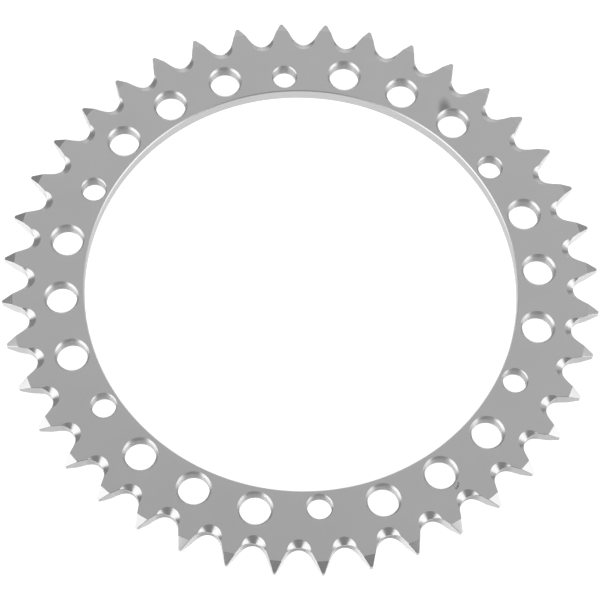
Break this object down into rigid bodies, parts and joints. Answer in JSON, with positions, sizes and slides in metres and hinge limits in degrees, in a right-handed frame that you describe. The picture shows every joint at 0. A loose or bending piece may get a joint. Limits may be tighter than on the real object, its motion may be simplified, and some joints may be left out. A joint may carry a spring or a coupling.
{
  "type": "motorcycle rear sprocket",
  "caption": "Flat rear chain sprocket ring with a large plain bore, hub bolt holes, chamfered lightening holes, bevelled teeth and mud reliefs at the tooth roots.",
  "frame": {"origin": "on the axle's axis, at the face that meets the hub", "axes": "+Z along the axle, away from the hub; +Y through a hub bolt hole"},
  "size_m": [0.21, 0.21, 0.0058],
  "materials": {
    "machined_aluminium": "bare machined aluminium plate with satin faces, bright-cut bevels, chamfers and reliefs"
  },
  "bodies": {
    "root": {"sprocket_ring": "machined_aluminium"}
  },
  "joints": []
}
